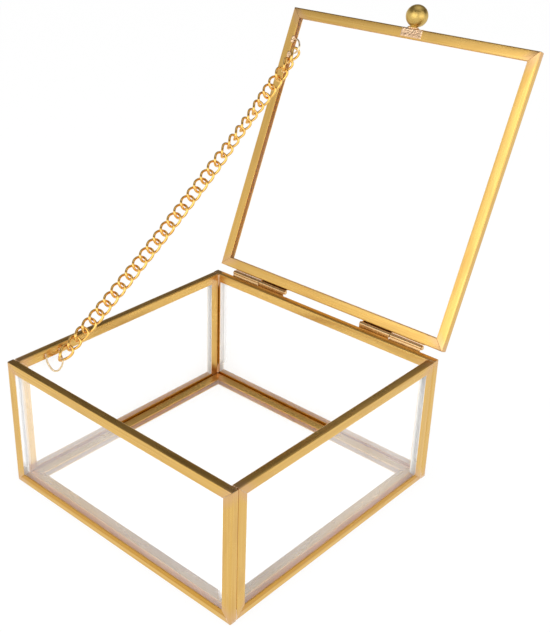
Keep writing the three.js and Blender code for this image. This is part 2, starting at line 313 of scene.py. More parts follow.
def new_tree(name, *sizes):
    """A geometry tree with a Geometry input and named sizes. Its inputs come back as the outputs to read."""
    tree = bpy.data.node_groups.new(name, "GeometryNodeTree")
    tree.interface.new_socket("Geometry", in_out="INPUT", socket_type="NodeSocketGeometry")
    for label in sizes:
        tree.interface.new_socket(label, in_out="INPUT", socket_type="NodeSocketFloat")
    tree.interface.new_socket("Geometry", in_out="OUTPUT", socket_type="NodeSocketGeometry")
    return tree, *tree.nodes.new("NodeGroupInput").outputs[:len(sizes) + 1]


def end_tree(tree, geometry, material):
    """Every tree ends in smooth shading, Realize Instances and Set Material."""
    smooth = node(tree, "GeometryNodeSetShadeSmooth", Geometry=geometry)
    whole = node(tree, "GeometryNodeRealizeInstances", Geometry=smooth.outputs[0])
    painted = node(tree, "GeometryNodeSetMaterial", Geometry=whole.outputs[0], Material=material)
    node(tree, "NodeGroupOutput", s0=painted.outputs[0])


def grown(name, seed_mesh, tree, sizes, place=Matrix.Identity(4)):
    """Runs a geometry tree on a seed mesh and keeps the result as a plain mesh in its place."""
    seed = add_object("seed", seed_mesh)
    modifier = seed.modifiers.new("Grow", "NODES")
    modifier.node_group = tree
    for item in tree.interface.items_tree:
        if item.in_out == "INPUT" and item.name in sizes:
            modifier[item.identifier] = sizes[item.name]
    seed.update_tag()
    bpy.context.view_layer.update()
    evaluated = seed.evaluated_get(bpy.context.evaluated_depsgraph_get())
    mesh = bpy.data.meshes.new_from_object(evaluated)
    mesh.name = name
    seed.modifiers.remove(modifier)
    bpy.data.objects.remove(seed)
    mesh.transform(place)
    return add_object(name, mesh)


def line_mesh(points, closed=False):
    """A line of edges, which a tree can turn into a curve."""
    mesh = bpy.data.meshes.new("line")
    count = len(points)
    edges = [(i, (i + 1) % count) for i in range(count if closed else count - 1)]
    mesh.from_pydata([tuple(point) for point in points], edges, [])
    return mesh


def point_mesh(points, **columns):
    """Loose points that carry values for a tree to read."""
    mesh = bpy.data.meshes.new("points")
    mesh.from_pydata([tuple(point) for point in points], [], [])
    for key, values in columns.items():
        wide = hasattr(values[0], "__len__")
        column = mesh.attributes.new(key, "FLOAT_VECTOR" if wide else "FLOAT", "POINT")
        for row, value in zip(column.data, values):
            setattr(row, "vector" if wide else "value", value)
    return mesh


def arc(centre, radius, start, end, steps):
    """Points on an arc, angles in degrees."""
    angles = [math.radians(start + (end - start) * i / steps) for i in range(steps + 1)]
    return [(centre[0] + radius * math.cos(a), centre[1] + radius * math.sin(a)) for a in angles]


def lathe(name, profile, place, segments):
    """Spins a profile of (radius, along) points about Z. It starts and ends on the axis."""
    shell = bmesh.new()
    rings = []
    for radius, along in profile:
        turns = [2 * math.pi * i / segments for i in range(segments if radius else 1)]
        spun = [(radius * math.cos(turn), radius * math.sin(turn), along) for turn in turns]
        rings.append([shell.verts.new(point) for point in spun])
    for lower, upper in zip(rings, rings[1:]):
        for i in range(segments):
            j = (i + 1) % segments
            corners = [lower[i % len(lower)], lower[j % len(lower)],
                       upper[j % len(upper)], upper[i % len(upper)]]
            shell.faces.new(list(dict.fromkeys(corners)))
    return shell_object(name, shell, place)


# ---- Materials ----------------------------------------------------------------------------------
def shader_material(name, **values):
    """A material whose Principled shader has these sockets set, with _ for a space."""
    material = bpy.data.materials.new(name)
    material.use_nodes = True
    shader = material.node_tree.nodes["Principled BSDF"]
    for key, value in values.items():
        shader.inputs[key.replace("_", " ")].default_value = value
    return material, material.node_tree, shader


def attribute(tree, name, output="Fac"):
    return node(tree, "ShaderNodeAttribute", {"attribute_name": name}).outputs[output]


def mixed(tree, factor, first, second):
    """A colour between two, by a factor."""
    mix = node(tree, "ShaderNodeMix", {"data_type": "RGBA"}, s0=factor)
    for socket, value in ((mix.inputs[6], first), (mix.inputs[7], second)):
        if isinstance(value, bpy.types.NodeSocket):
            tree.links.new(value, socket)
        else:
            socket.default_value = (*value, 1)
    return mix.outputs[2]


def ranged(tree, value, from_low, from_high, to_low, to_high):
    """A value carried from one range to another, and held at its ends."""
    made = node(tree, "ShaderNodeMapRange", None, Value=value)
    ends = {"From Min": from_low, "From Max": from_high, "To Min": to_low, "To Max": to_high}
    for key, number in ends.items():
        made.inputs[key].default_value = number
    return made.outputs[0]


def noise(tree, place, scale, stretch=(1, 1, 1), detail=3.0):
    mapping = node(tree, "ShaderNodeMapping", None, Vector=place, Scale=stretch)
    return node(tree, "ShaderNodeTexNoise", None, Vector=mapping.outputs[0],
                Scale=scale, Detail=detail, Roughness=0.5).outputs["Fac"]


def show(material, factor, first, second):
    """The surface shows a mix of these two shaders."""
    tree = material.node_tree
    mix = node(tree, "ShaderNodeMixShader", None, Fac=factor, s1=first.outputs[0], s2=second.outputs[0])
    tree.links.new(mix.outputs[0], tree.nodes["Material Output"].inputs["Surface"])


def channel_brass():
    """Drawn brass sheet: lengthwise streaks, faint cloudy tarnish, and a pink heat tint near the corners.

    The walls' bottom rails have a painted shade: a deeper upper edge where their legs meet the glass.
    Inside, the channel is painted brighter, a painted light in its shaded hollow, and white in the posts,
    a painted highlight for the bright band at the panes' edges.
    """
    material, tree, shader = shader_material("channel_brass", Anisotropic=0.35)
    rail = attribute(tree, "rail", "Vector")
    streaks = noise(tree, rail, 1.0, (14, 2600, 2600), detail=4)
    clouds = noise(tree, rail, 1.0, (38, 160, 160))
    gold = mixed(tree, ranged(tree, streaks, 0.3, 0.7, 0, 1), BRASS_LIGHT, BRASS_DEEP)
    aged = mixed(tree, ranged(tree, clouds, 0.52, 0.75, 0, 0.5), gold, BRASS_TARNISH)
    reach = maths(tree, "MULTIPLY_ADD", clouds, 14 * MM, -2 * MM)
    near = maths(tree, "SUBTRACT", reach, attribute(tree, "from_corner"))
    heated = mixed(tree, ranged(tree, near, -2 * MM, 4 * MM, 0, 0.7), aged, BRASS_HEATED)

    foot = attribute(tree, "foot")
    inward, level = node(tree, "ShaderNodeSeparateXYZ", None, Vector=rail).outputs[1:3]
    # Painted shade: the upper half of the bottom rails' legs, where they meet the glass, is darkened.
    upper = maths(tree, "MULTIPLY", foot, ranged(tree, inward, 2.5 * MM, 3.1 * MM, 0, 0.85))
    foot_painted_shade = mixed(tree, upper, heated, BRASS_FOOT_PAINTED_SHADE)
    # Painted light: the channel's inner faces are painted brighter gold, and white in the posts as a painted
    # highlight.
    from_face = maths(tree, "MINIMUM", level, maths(tree, "SUBTRACT", channel, level))
    inside = maths(tree, "MULTIPLY", ranged(tree, from_face, 0.40 * MM, 0.47 * MM, 0, 1),
                   ranged(tree, inward, 0.2 * MM, 0.4 * MM, 0, 1))
    post = maths(tree, "SUBTRACT", attribute(tree, "wall"), foot)
    with_painted_light = mixed(tree, inside, foot_painted_shade, mixed(tree, post, BRASS_INSIDE_PAINTED_LIGHT, POST_PAINTED_HIGHLIGHT))
    # The painted white in the posts is no metal, so it shows as a plain white painted highlight.
    metallic = maths(tree, "SUBTRACT", 1.0, maths(tree, "MULTIPLY", inside, post))
    gloss = ranged(tree, clouds, 0.3, 0.8, 0.2, 0.36)
    roughness = maths(tree, "MAXIMUM", gloss, maths(tree, "MULTIPLY", inside, 0.6))
    bump = node(tree, "ShaderNodeBump", None, Strength=0.25, Distance=0.02 * MM, Height=streaks)
    for value, socket in ((with_painted_light, "Base Color"), (metallic, "Metallic"), (roughness, "Roughness"),
                          (bump.outputs[0], "Normal")):
        tree.links.new(value, shader.inputs[socket])
    return material


def object_metal(name, light, deep, roughness, grain, bump_height):
    """A metal whose colour, gloss and small dents vary with its place on the object."""
    material, tree, shader = shader_material(name, Metallic=1.0)
    place = node(tree, "ShaderNodeTexCoord").outputs["Object"]
    broad = noise(tree, place, grain, detail=4)
    fine = noise(tree, place, grain * 6, detail=2)
    colour = mixed(tree, ranged(tree, broad, 0.5, 0.8, 0, 1), light, deep)
    gloss = ranged(tree, fine, 0.3, 0.7, roughness * 0.75, roughness * 1.3)
    bump = node(tree, "ShaderNodeBump", None, Strength=0.5, Distance=bump_height, Height=broad)
    for value, socket in ((colour, "Base Color"), (gloss, "Roughness"), (bump.outputs[0], "Normal")):
        tree.links.new(value, shader.inputs[socket])
    return material


def pane_glass(name, haze_low, haze_high, post_highlight_haze):
    """Clear sheet glass: a breath of haze that the light catches, and a reflection where it is seen edge-on.

    The haze varies between low and high. Beside the posts, above the bottom rail, it rises to the last
    argument's strength:
    a painted highlight, a white band at the panes' edges.
    """
    material, tree, haze = shader_material(name, Base_Color=(1, 1, 1, 1), Roughness=0.5)
    haze.inputs["Specular IOR Level"].default_value = 0.0
    place = node(tree, "ShaderNodeTexCoord").outputs["Object"]
    smear = noise(tree, place, 22)
    clear = node(tree, "ShaderNodeBsdfTransparent", None, Color=(1, 1, 1, 1))

    x, y, z = node(tree, "ShaderNodeSeparateXYZ", None, Vector=place).outputs
    from_middle = maths(tree, "ABSOLUTE", maths(tree, "SUBTRACT", y, middle_y))
    along_wall = maths(tree, "MINIMUM", maths(tree, "ABSOLUTE", x), from_middle)
    from_corner = maths(tree, "SUBTRACT", half, along_wall)
    # Painted highlight: the haze is raised beside the posts to paint a white band there.
    post_painted_highlight = maths(tree, "MULTIPLY", ranged(tree, z, 8 * MM, 14 * MM, 0, 1),
                      ranged(tree, from_corner, CHANNEL_LEG, CHANNEL_LEG + 4 * MM, post_highlight_haze, 0))
    amount = maths(tree, "MAXIMUM", ranged(tree, smear, 0.35, 0.75, haze_low, haze_high), post_painted_highlight)
    veil = node(tree, "ShaderNodeMixShader", None, Fac=amount, s1=clear.outputs[0], s2=haze.outputs[0])
    mirror = node(tree, "ShaderNodeBsdfAnisotropic", None, Color=(1, 1, 1, 1),
                  Roughness=ranged(tree, smear, 0.35, 0.75, 0.01, 0.05))
    # A pane's far face mirrors nothing, or light seen edge-on would be caught between the two faces.
    outer = maths(tree, "SUBTRACT", 1.0, node(tree, "ShaderNodeNewGeometry").outputs["Backfacing"])
    fresnel = node(tree, "ShaderNodeFresnel", None, IOR=GLASS_IOR)
    show(material, maths(tree, "MULTIPLY", fresnel.outputs[0], outer), veil, mirror)
    return material


MATERIALS = {
    "channel": channel_brass(),
    "hinge": object_metal("hinge_brass", (0.80, 0.53, 0.26), (0.62, 0.38, 0.18), 0.26, 260, 0.008 * MM),
    "knob": object_metal("knob_brass", (0.62, 0.43, 0.13), (0.55, 0.36, 0.10), 0.38, 120, 0.006 * MM),
    "chain": object_metal("chain_brass", (0.88, 0.54, 0.15), (0.76, 0.38, 0.08), 0.15, 300, 0.03 * MM),
    "eye": object_metal("eye_wire", (0.86, 0.70, 0.46), (0.76, 0.60, 0.40), 0.22, 300, 0.03 * MM),
    "solder": object_metal("solder", (0.80, 0.56, 0.36), (0.62, 0.38, 0.22), 0.32, 420, 0.08 * MM),
    # The wall glass's last number is the strength of the painted highlight beside the posts.
    "wall glass": pane_glass("wall_glass", 0.14, 0.20, 0.85),
    "floor glass": pane_glass("floor_glass", 0.10, 0.16, 0.0),
    "lid glass": pane_glass("lid_glass", 0.02, 0.06, 0.0),
}


# ---- Channel frames and panes -------------------------------------------------------------------
def channel_section():
    """The folded channel's outline: x runs in from the web's outer face, y across the channel."""
    outer, inner = FOLD_RADIUS, FOLD_RADIUS - SHEET
    near_fold, far_fold = (outer, outer), (outer, channel - outer)
    outline = [
        (CHANNEL_LEG, LEG_PINCH),
        *arc(near_fold, outer, 270, 180, 5),
        *arc(far_fold, outer, 180, 90, 5),
        (CHANNEL_LEG, channel - LEG_PINCH),
        (CHANNEL_LEG, channel - LEG_PINCH - EDGE_SHEET),
        *arc(far_fold, inner, 90, 180, 2),
        *arc(near_fold, inner, 180, 270, 2),
        (CHANNEL_LEG, LEG_PINCH + EDGE_SHEET),
    ]
    return [(x, y, 0) for x, y in outline]


def channel_tree():
    """Sweeps the section along a rectangle's four sides, mitres the ends and gives the sheet its wave."""
    tree, seed_line, width, height, gap, wave, seed, wall = new_tree(
        "Channel frame", "Width", "Height", "Mitre gap", "Wave", "Seed", "Wall")
    section = node(tree, "GeometryNodeMeshToCurve", None, Mesh=seed_line).outputs[0]
    position = node(tree, "GeometryNodeInputPosition").outputs[0]

    def stored(geometry, name, value, kind="FLOAT"):
        return node(tree, "GeometryNodeStoreNamedAttribute", {"data_type": kind},
                    Geometry=geometry, Name=name, Value=value).outputs[0]

    sides = []
    for side in range(4):
        length, depth = (width, height) if side % 2 == 0 else (height, width)
        half_length = maths(tree, "SUBTRACT", maths(tree, "MULTIPLY", length, 0.5), gap)
        line = node(tree, "GeometryNodeCurvePrimitiveLine", None, End=vector(tree, half_length),
                    Start=vector(tree, maths(tree, "MULTIPLY", half_length, -1.0)))
        steps = node(tree, "GeometryNodeResampleCurve", None, Curve=line.outputs[0], Count=33)
        upright = node(tree, "GeometryNodeSetCurveNormal", {"mode": "Z_UP"}, Curve=steps.outputs[0])
        bar = node(tree, "GeometryNodeCurveToMesh", None, Curve=upright.outputs[0], Profile_Curve=section,
                   Fill_Caps=True)
        righted = node(tree, "GeometryNodeTransform", None, Geometry=bar.outputs[0], Rotation=(math.pi, 0, 0))

        # What the brass reads: a point's place on its rail, and which rail it is.
        x, inward, level = node(tree, "ShaderNodeSeparateXYZ", None, Vector=position).outputs
        apart = maths(tree, "ADD", seed, side * SIDE_SEED_STEP)
        along = vector(tree, maths(tree, "ADD", x, apart), inward, level)
        from_end = maths(tree, "SUBTRACT", half_length, maths(tree, "ABSOLUTE", x))
        marked = stored(righted.outputs[0], "rail", along, "FLOAT_VECTOR")
        marked = stored(marked, "from_corner", from_end)
        marked = stored(marked, "foot", maths(tree, "MULTIPLY", wall, 0.0 if side else 1.0))
        marked = stored(marked, "wall", wall)

        # The mitre shortens the bar towards its inner edge, and the wave dies away towards the mitre.
        shrink = maths(tree, "SUBTRACT", 1.0, maths(tree, "DIVIDE", inward, half_length))
        calm = maths(tree, "MINIMUM", maths(tree, "MULTIPLY", from_end, 1 / CALM_CORNER), 1.0)
        reach = maths(tree, "MULTIPLY", maths(tree, "MULTIPLY", calm, wave), WAVE_STRENGTH)
        spread = node(tree, "ShaderNodeVectorMath", {"operation": "MULTIPLY"}, s0=along, s1=(45, 90, 60))
        push = node(tree, "ShaderNodeSeparateXYZ", None, Vector=ripple(tree, spread.outputs[0], 1.0, reach))
        mitred = node(tree, "GeometryNodeSetPosition", None, Geometry=marked, Position=vector(
            tree, maths(tree, "MULTIPLY", x, shrink), maths(tree, "ADD", inward, push.outputs[1]),
            maths(tree, "ADD", level, push.outputs[2])))
        edge = vector(tree, 0.0, maths(tree, "MULTIPLY", depth, -0.5))
        moved = node(tree, "GeometryNodeTransform", None, Geometry=mitred.outputs[0], Translation=edge)
        turned = node(tree, "GeometryNodeTransform", None, Geometry=moved.outputs[0],
                      Rotation=(0, 0, side * math.pi / 2))
        sides.append(turned.outputs[0])
    whole = node(tree, "GeometryNodeJoinGeometry")
    for side in sides:
        tree.links.new(side, whole.inputs[0])
    end_tree(tree, whole.outputs[0], MATERIALS["channel"])
    return tree


def frame_place(name):
    """(width, height, place) of a frame. Its own plane is XY, and its thickness runs along Z from 0."""
    if name == "lid_frame":
        flat = Matrix.Translation((0, middle_y, lid_inner_z))
        return 2 * half, walls_high.y - walls_low.y, OPENED @ flat
    low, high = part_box(name)
    size, centre = high - low, (low + high) / 2
    across = Vector((0, 1, 0) if name in ("left_frame", "right_frame") else (1, 0, 0))
    up = Vector((0, 1, 0) if name == "floor_frame" else (0, 0, 1))
    out = across.cross(up)
    return abs(size.dot(across)), abs(size.dot(up)), basis(across, up, out, centre - out * channel / 2)


def make_frames():
    tree = channel_tree()
    for number, part in enumerate(("floor", "front", "back", "left", "right", "lid")):
        name = f"{part}_frame"
        width, height, place = frame_place(name)
        sizes = {"Width": width, "Height": height, "Mitre gap": MITRE_GAP, "Wave": RAIL_WAVE,
                 "Seed": number * FRAME_SEED_STEP, "Wall": 0.0 if part in ("floor", "lid") else 1.0}
        piece = grown(f"{part}_channel", line_mesh(channel_section(), closed=True), tree, sizes, place)
        add_bevel(piece, CHANNEL_BEVEL, CHANNEL_BEVEL_ANGLE)
        finish_piece(piece, MATERIALS["channel"], body_of_node[name], [name])


def dress_panes():
    for name, piece in frame["nodes"].items():
        if name.endswith("_glass"):
            kind = name.replace("_", " ") if name in ("lid_glass", "floor_glass") else "wall glass"
            piece.data.materials.clear()
            piece.data.materials.append(MATERIALS[kind])


# ---- Hinges -------------------------------------------------------------------------------------
def rolled_leaf(name, start_x, end_x, mirror, place):
    """One half of a hinge: a leaf that lies on its rail and rolls up into the barrel. mirror -1 flips it."""
    rail_y = walls_high.y - hinge.y + LEAF_FROM_RAIL + BARREL_SHEET / 2
    path = [(rail_y, -LEAF_REACH), (rail_y, -LEAF_BEND_START), (rail_y * 0.93, -LEAF_BEND_MIDDLE)]
    path += arc((0, 0), BARREL_RADIUS - BARREL_SHEET / 2, 197, -155, 30)
    left, right = [], []
    for i, (y, z) in enumerate(path):
        before, after = path[max(i - 1, 0)], path[min(i + 1, len(path) - 1)]
        along = Vector((after[0] - before[0], after[1] - before[1])).normalized()
        side = Vector((-along.y, along.x)) * BARREL_SHEET / 2
        left.append((y + side.x, z + side.y))
        right.append((y - side.x, z - side.y))
    outline = left + right[::-1]
    shell = bmesh.new()
    start, end = [[shell.verts.new((x, y, z * mirror)) for y, z in outline] for x in (start_x, end_x)]
    count = len(outline)
    for i in range(count):
        j = (i + 1) % count
        shell.faces.new([start[i], start[j], end[j], end[i]])
    for ring in (start, end):
        for i in range(len(path) - 1):
            shell.faces.new([ring[i], ring[i + 1], ring[count - 2 - i], ring[count - 1 - i]])
    leaf = shell_object(name, shell, place)
    add_bevel(leaf, LEAF_BEVEL, LEAF_BEVEL_ANGLE)
    return leaf


def leaf_tab(name, start_x, end_x, mirror, place):
    """The rest of a leaf, which runs past the other half's barrel."""
    rail_y = walls_high.y - hinge.y + LEAF_FROM_RAIL
    shell = bmesh.new()
    corners = [shell.verts.new((x, y, z * mirror)) for x in (start_x, end_x)
               for y in (rail_y, rail_y + BARREL_SHEET) for z in (-LEAF_REACH, -LEAF_INSET)]
    for face in ((0, 1, 3, 2), (4, 6, 7, 5), (0, 4, 5, 1), (2, 3, 7, 6), (0, 2, 6, 4), (1, 5, 7, 3)):
        shell.faces.new([corners[i] for i in face])
    tab = shell_object(name, shell, place, smooth=False)
    add_bevel(tab, LEAF_BEVEL, LEAF_BEVEL_ANGLE)
    return tab


def make_pin(side):
    """A hinge's pin, with a chamfered head at each end."""
    node_name = f"{side}_hinge_pin"
    low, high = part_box(node_name)
    head, end = (high.z - low.z) / 2, (high.x - low.x) / 2
    neck = end - PIN_HEAD_LENGTH
    slope = end - PIN_HEAD_LENGTH * PIN_HEAD_CHAMFER
    half_profile = [(PIN_RADIUS, neck), (head, neck), (head, slope), (head * PIN_HEAD_FACE, end), (0, end)]
    profile = [(radius, -along) for radius, along in reversed(half_profile)] + half_profile
    lie = Matrix.Translation(((low.x + high.x) / 2, hinge.y, hinge.z)) @ Matrix.Rotation(math.pi / 2, 4, "Y")
    pin = lathe(f"{side}_pin", profile, lie, 32)
    finish_piece(pin, MATERIALS["hinge"], body_of_node[node_name], [node_name])


def make_hinges():
    base_place = Matrix.Translation((0, hinge.y, hinge.z))
    lid_place = OPENED @ base_place
    for side in ("left", "right"):
        for part, other, mirror, place in (("base", "lid", 1, base_place), ("lid", "base", -1, lid_place)):
            node_name = f"{side}_hinge_{part}_barrel"
            low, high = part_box(node_name)
            leaf = rolled_leaf(f"{side}_{part}_leaf", low.x, high.x, mirror, place)
            finish_piece(leaf, MATERIALS["hinge"], body_of_node[node_name], [node_name])
            low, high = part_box(f"{side}_hinge_{other}_barrel")
            tab = leaf_tab(f"{side}_{part}_tab", low.x, high.x, mirror, place)
            finish_piece(tab, MATERIALS["hinge"], body_of_node[node_name])
        make_pin(side)


# ---- Knob ---------------------------------------------------------------------------------------
def make_knob():
    """A turned ball on a short neck that flares where it meets the lid's edge. Returns where it is seated."""
    neck_meets = math.asin(KNOB_NECK / KNOB_RADIUS)
    profile = [(0, KNOB_FLARE[0][1])] + [(KNOB_NECK * share, along) for share, along in KNOB_FLARE]
    for i in range(KNOB_RINGS + 1):
        angle = neck_meets + (math.pi - neck_meets) * i / KNOB_RINGS
        radius = 0 if i == KNOB_RINGS else KNOB_RADIUS * math.sin(angle)
        profile.append((radius, KNOB_OUT - KNOB_RADIUS * math.cos(angle)))
    seat = Vector((KNOB_OFFSET, walls_low.y, lid_inner_z + channel / 2))
    place = OPENED @ Matrix.Translation(seat) @ Matrix.Rotation(math.pi / 2, 4, "X")
    knob = lathe("ball_knob", profile, place, 64)
    finish_piece(knob, MATERIALS["knob"], "lid", ["lid_knob"])
    return OPENED @ seat


# ---- Chain eyes ---------------------------------------------------------------------------------
def wire_tree():
    """Turns a line of edges into round wire."""
    tree, seed_line, radius = new_tree("Wire", "Radius")
    line = node(tree, "GeometryNodeMeshToCurve", None, Mesh=seed_line)
    wire = node(tree, "GeometryNodeCurveToMesh", None, Curve=line.outputs[0],
                Profile_Curve=circle(tree, radius, EYE_CORNERS), Fill_Caps=True)
    end_tree(tree, wire.outputs[0], MATERIALS["eye"])
    return tree


def smooth_line(points, steps):
    """A centripetal curve through the points, as evenly numbered points."""
    padded = [2 * points[0] - points[1], *points, 2 * points[-1] - points[-2]]
    line = []
    for p0, p1, p2, p3 in zip(padded, padded[1:], padded[2:], padded[3:]):
        knots = [0.0]
        for first, second in ((p0, p1), (p1, p2), (p2, p3)):
            knots.append(knots[-1] + math.sqrt((second - first).length))
        for i in range(steps):
            t = knots[1] + (knots[2] - knots[1]) * i / steps
            a1, a2, a3 = (p.lerp(q, (t - k0) / (k1 - k0)) for p, q, k0, k1 in (
                (p0, p1, knots[0], knots[1]), (p1, p2, knots[1], knots[2]), (p2, p3, knots[2], knots[3])))
            b1 = a1.lerp(a2, (t - knots[0]) / (knots[2] - knots[0]))
            b2 = a2.lerp(a3, (t - knots[1]) / (knots[3] - knots[1]))
            line.append(b1.lerp(b2, (t - knots[1]) / (knots[2] - knots[1])))
    return line + [points[-1].copy()]


def eye_points(pull, offsets):
    """Points in millimetres from where the chain pulls."""
    return [pull + Vector(offset) * MM for offset in offsets]


def base_eye_line():
    """The wire's way from its front foot on the left wall, past the chain's pull, and to its back foot."""
    face = (-half + channel + EYE_SEAM + EYE_WIRE / 2 - base_pull.x) / MM
    bottom = -BASE_EYE_DEPTH / MM
    return eye_points(base_pull, [
        (face, 1.4, 1.9), (face + 0.5, 0.7, 0.9), (0, 0, 0), (1.7, -0.9, -1.4), (1.6, -1.7, -3.8),
        (0.9, -3.8, bottom), (0.1, -5.9, bottom + 0.7), (face + 0.6, -6.9, -2.0), (face, -7.2, 0.4),
        (face, -7.2, 1.9)])


def lid_eye_line():
    """The same on the lid's left rail."""
    edge = (-half + CHANNEL_LEG + EYE_SEAM - lid_pull.x) / MM
    level = (LID_EYE_DROP - EYE_GLASS_GAP) / MM
    closed = eye_points(lid_pull, [
        (edge, 1.2, level), (edge + 2.6, 0.9, level - 1.1), (0, 0, 0), (1.7, -1.3, -0.7), (2.0, -3.6, -0.7),
        (0.6, -5.9, -0.2), (-2.2, -7.2, 1.2), (edge + 2.6, -7.6, level - 0.8), (edge, -7.4, level)])
    return [OPENED @ point for point in closed]


def make_eyes():
    tree = wire_tree()
    for part, points in (("base", base_eye_line()), ("lid", lid_eye_line())):
        node_name = f"{part}_chain_eye"
        eye = grown(f"{part}_eye", line_mesh(smooth_line(points, EYE_STEPS)), tree, {"Radius": EYE_WIRE / 2})
        finish_piece(eye, MATERIALS["eye"], body_of_node[node_name], [node_name])


# ---- Chain --------------------------------------------------------------------------------------
def link_tree():
    """Sets a curb link on every point, turned and sized by the point's own values."""
    tree, seed_points, width, half_length, wire, twist = new_tree(
        "Chain length", "Link width", "Half length", "Wire", "Twist")
    index = node(tree, "GeometryNodeInputIndex").outputs[0]
    turn = maths(tree, "MULTIPLY", index, 2 * math.pi / LINK_CORNERS)
    half_width = maths(tree, "MULTIPLY", maths(tree, "SUBTRACT", width, wire), 0.5)
    shape = vector(tree, maths(tree, "MULTIPLY", half_width, maths(tree, "COSINE", turn)),
                   maths(tree, "MULTIPLY", half_length, maths(tree, "SINE", turn)),
                   maths(tree, "MULTIPLY", twist, maths(tree, "SINE", maths(tree, "MULTIPLY", turn, 2.0))))
    loop = node(tree, "GeometryNodeSetPosition", None,
                Geometry=circle(tree, 1.0, LINK_CORNERS), Position=shape)
    section = circle(tree, maths(tree, "MULTIPLY", wire, 0.5), WIRE_CORNERS)
    link = node(tree, "GeometryNodeCurveToMesh", None, Curve=loop.outputs[0], Profile_Curve=section)
    turned, sized = (node(tree, "GeometryNodeInputNamedAttribute", {"data_type": "FLOAT_VECTOR"}, Name=name)
                     for name in ("turn", "size"))
    rotation = node(tree, "FunctionNodeEulerToRotation", None, Euler=turned.outputs[0])
    links = node(tree, "GeometryNodeInstanceOnPoints", None, Points=seed_points, Instance=link.outputs[0],
                 Rotation=rotation.outputs[0], Scale=sized.outputs[0])
    whole = node(tree, "GeometryNodeRealizeInstances", None, Geometry=links.outputs[0])
    end_tree(tree, whole.outputs[0], MATERIALS["chain"])
    return tree


def smooth_step(low, high, value):
    t = min(max((value - low) / (high - low), 0), 1)
    return t * t * (3 - 2 * t)


def chain_roll(number):
    """Degrees that a link leans from level towards the front. The chain twists a little on its way."""
    upper = UPPER_ROLL * (smooth_step(20, 26, number) - smooth_step(28, 32, number))
    lid_end = LID_END_ROLL * smooth_step(32, 35, number)
    base_end = BASE_END_ROLL * (1 - smooth_step(1, 6, number))
    return CHAIN_ROLL + upper + lid_end + base_end


def link_places():
    """(number, middle, turn) of each link, and the pitch. They lie on a shallow arc between the two eyes."""
    span = OPENED @ lid_pull - base_pull
    straight = span.normalized()
    across = (Vector((1, 0, 0)) - straight * straight.x).normalized()
    radius = (span.length ** 2 / 4 + CHAIN_SAG ** 2) / (2 * CHAIN_SAG)
    half_angle = math.asin(span.length / 2 / radius)
    link_turn = 2 * half_angle / CHAIN_LINKS
    pitch = 2 * radius * math.sin(link_turn / 2)
    pivot = base_pull.copy()
    places = []
    for number in range(1, CHAIN_LINKS + 1):
        along = Quaternion(across, -half_angle + (number - 0.5) * link_turn) @ straight
        wide = Quaternion(along, math.radians(chain_roll(number))) @ across
        turn = Matrix((wide, along, wide.cross(along))).transposed().to_euler()
        places.append((number, pivot + along * pitch / 2, turn))
        pivot += along * pitch
    return places, pitch


def make_chain():
    """One piece for each rigid length of chain. The links at its two ends are sized to hold their eyes."""
    places, pitch = link_places()
    tree = link_tree()
    linked = pitch / 2 + (CHAIN_WIRE + LINK_PLAY) / 2
    sizes = {"Link width": LINK_WIDTH, "Half length": linked, "Wire": CHAIN_WIRE, "Twist": LINK_TWIST}
    for body in frame["bodies"]:
        points, turns, stretches, nodes = [], [], [], []
        for number, middle, turn in places:
            name = f"chain_link_{number:02d}"
            if body_of_node[name] != body:
                continue
            back = pitch / 2 + BASE_LINK_REACH if number == 1 else linked
            front = pitch / 2 + LID_LINK_REACH if number == CHAIN_LINKS else linked
            along = turn.to_matrix().col[1]
            points.append(middle + along * (front - back) / 2)
            turns.append(tuple(turn))
            stretches.append((1, (front + back) / 2 / linked, 1))
            nodes.append(name)
        if nodes:
            piece = grown(f"{body}_links", point_mesh(points, turn=turns, size=stretches), tree, sizes)
            finish_piece(piece, MATERIALS["chain"], body, nodes)


# ---- Solder -------------------------------------------------------------------------------------
dice = random.Random(7)


def solder_tree():
    """Melts a row of balls into one lump with an uneven skin."""
    tree, seed_points, grain, unevenness = new_tree("Solder", "Grain", "Unevenness")
    radius = node(tree, "GeometryNodeInputNamedAttribute", {"data_type": "FLOAT"}, Name="ball")
    cloud = node(tree, "GeometryNodeMeshToPoints", None, Mesh=seed_points)
    volume = node(tree, "GeometryNodePointsToVolume", {"resolution_mode": "VOXEL_SIZE"},
                  Points=cloud.outputs[0], Radius=radius.outputs[0], Voxel_Size=SOLDER_VOXEL)
    skin = node(tree, "GeometryNodeVolumeToMesh", {"resolution_mode": "GRID"}, Volume=volume.outputs[0])
    position = node(tree, "GeometryNodeInputPosition").outputs[0]
    soft = node(tree, "GeometryNodeBlurAttribute", {"data_type": "FLOAT_VECTOR"},
                Value=position, Iterations=3)
    relaxed = node(tree, "GeometryNodeSetPosition", None, Geometry=skin.outputs[0], Position=soft.outputs[0])
    uneven = node(tree, "GeometryNodeSetPosition", None, Geometry=relaxed.outputs[0],
                  Offset=ripple(tree, position, grain, unevenness))
    end_tree(tree, uneven.outputs[0], MATERIALS["solder"])
    return tree


def bead(start, end, start_radius, end_radius):
    """Balls along a joint, which grow or shrink from one radius to another."""
    start, end = Vector(start), Vector(end)
    count = max(2, round((end - start).length / BALL_SPACING))
    balls = []
    for i in range(count + 1):
        share = i / count
        shift = Vector((dice.uniform(-1, 1), dice.uniform(-1, 1), dice.uniform(-1, 1))) * BALL_WANDER
        size = (start_radius + (end_radius - start_radius) * share) * dice.uniform(0.85, 1.12)
        balls.append((start.lerp(end, share) + shift, size))
    return balls


